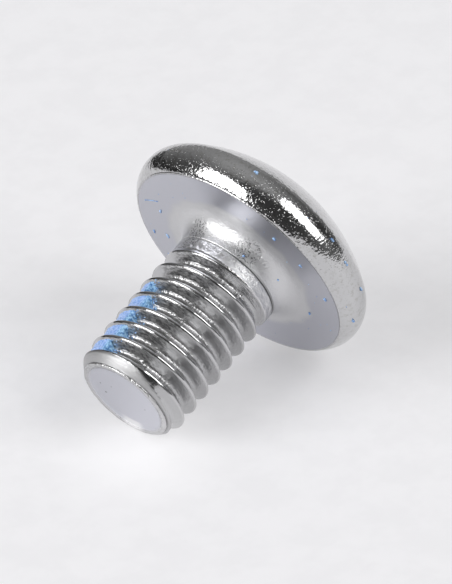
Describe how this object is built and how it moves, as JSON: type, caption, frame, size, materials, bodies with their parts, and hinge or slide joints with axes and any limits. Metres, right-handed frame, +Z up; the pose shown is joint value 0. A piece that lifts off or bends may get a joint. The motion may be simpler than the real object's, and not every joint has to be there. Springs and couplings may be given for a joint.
{
  "type": "machine screw",
  "caption": "Short bright-plated machine screw with a wide low domed head, rolled right-hand thread and a blue nylon locking patch.",
  "frame": {"origin": "centre of the bounding box's underside, on the surface that the screw lies on with its head's rim and its thread", "axes": "+Z up; +X level, from the head towards the point, with the screw's own axis sloping down along it; +Y to the left of that"},
  "size_m": [0.0146, 0.0134, 0.0127],
  "materials": {
    "zinc_plate": "bright zinc plate, polished and lightly dimpled on the rim, satin on the bearing face and the flat end",
    "nylon": "fused nylon powder, light blue, grainy with small glossy specks"
  },
  "bodies": {
    "root": {"screw": "zinc_plate", "locking_patch": "nylon"}
  },
  "joints": []
}
